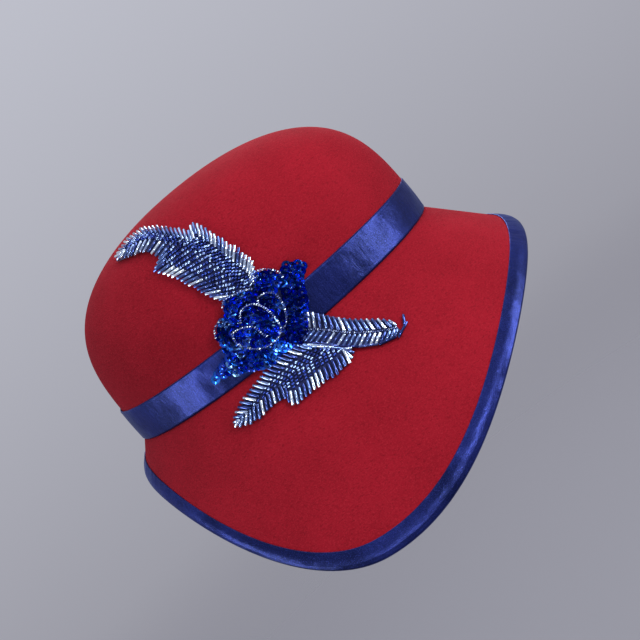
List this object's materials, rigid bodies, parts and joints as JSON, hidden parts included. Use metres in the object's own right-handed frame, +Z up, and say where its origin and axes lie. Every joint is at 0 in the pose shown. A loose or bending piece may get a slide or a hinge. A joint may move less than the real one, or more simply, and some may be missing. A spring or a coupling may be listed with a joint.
{
  "type": "felt cloche hat",
  "caption": "Felt cloche with a domed crown, a brim that dips over the right ear, satin ribbon and binding, and a beaded and sequinned flower spray.",
  "frame": {"origin": "middle of the head opening, level with the brim break", "axes": "+Z up through the crown, -Y the front of the hat, -X the wearer's right"},
  "size_m": [0.2392, 0.254, 0.196],
  "materials": {
    "felt": "blocked wool felt, short fuzzy nap",
    "satin_ribbon": "polyester satin, soft sheen along the weave",
    "satin_binding": "satin folded over the edge",
    "grosgrain": "ribbed petersham ribbon",
    "wire": "drawn steel millinery wire",
    "net": "stiff beading net",
    "silver_beads": "small silver-lined glass seed beads",
    "bugle_beads": "silver-lined glass bugle beads",
    "seed_beads": "silver-lined glass seed beads",
    "sequins": "metallised cup sequins"
  },
  "bodies": {
    "root": {"brim": "felt", "brim_binding": "satin_binding", "brim_wire": "wire", "crown": "felt", "flower_ground": "net", "hat_band": "satin_ribbon", "headband": "grosgrain", "headband_bow": "grosgrain", "lower_leaf_beads": "seed_beads", "lower_leaf_bugles": "bugle_beads", "lower_leaf_ground": "net", "petal_1": "sequins", "petal_1_edge": "silver_beads", "petal_2": "sequins", "petal_2_edge": "silver_beads", "petal_3": "sequins", "petal_3_edge": "silver_beads", "petal_4": "sequins", "petal_4_edge": "silver_beads", "petal_5": "sequins", "petal_5_edge": "silver_beads", "petal_6": "sequins", "petal_6_edge": "silver_beads", "sequin_leaf": "sequins", "sequin_tail": "sequins", "sequin_whorl": "sequins", "spray_bugles": "bugle_beads", "spray_ground": "net", "spray_midrib": "silver_beads", "spray_stem": "bugle_beads", "upper_leaf_beads": "seed_beads", "upper_leaf_bugles": "bugle_beads", "upper_leaf_ground": "net"}
  },
  "joints": []
}
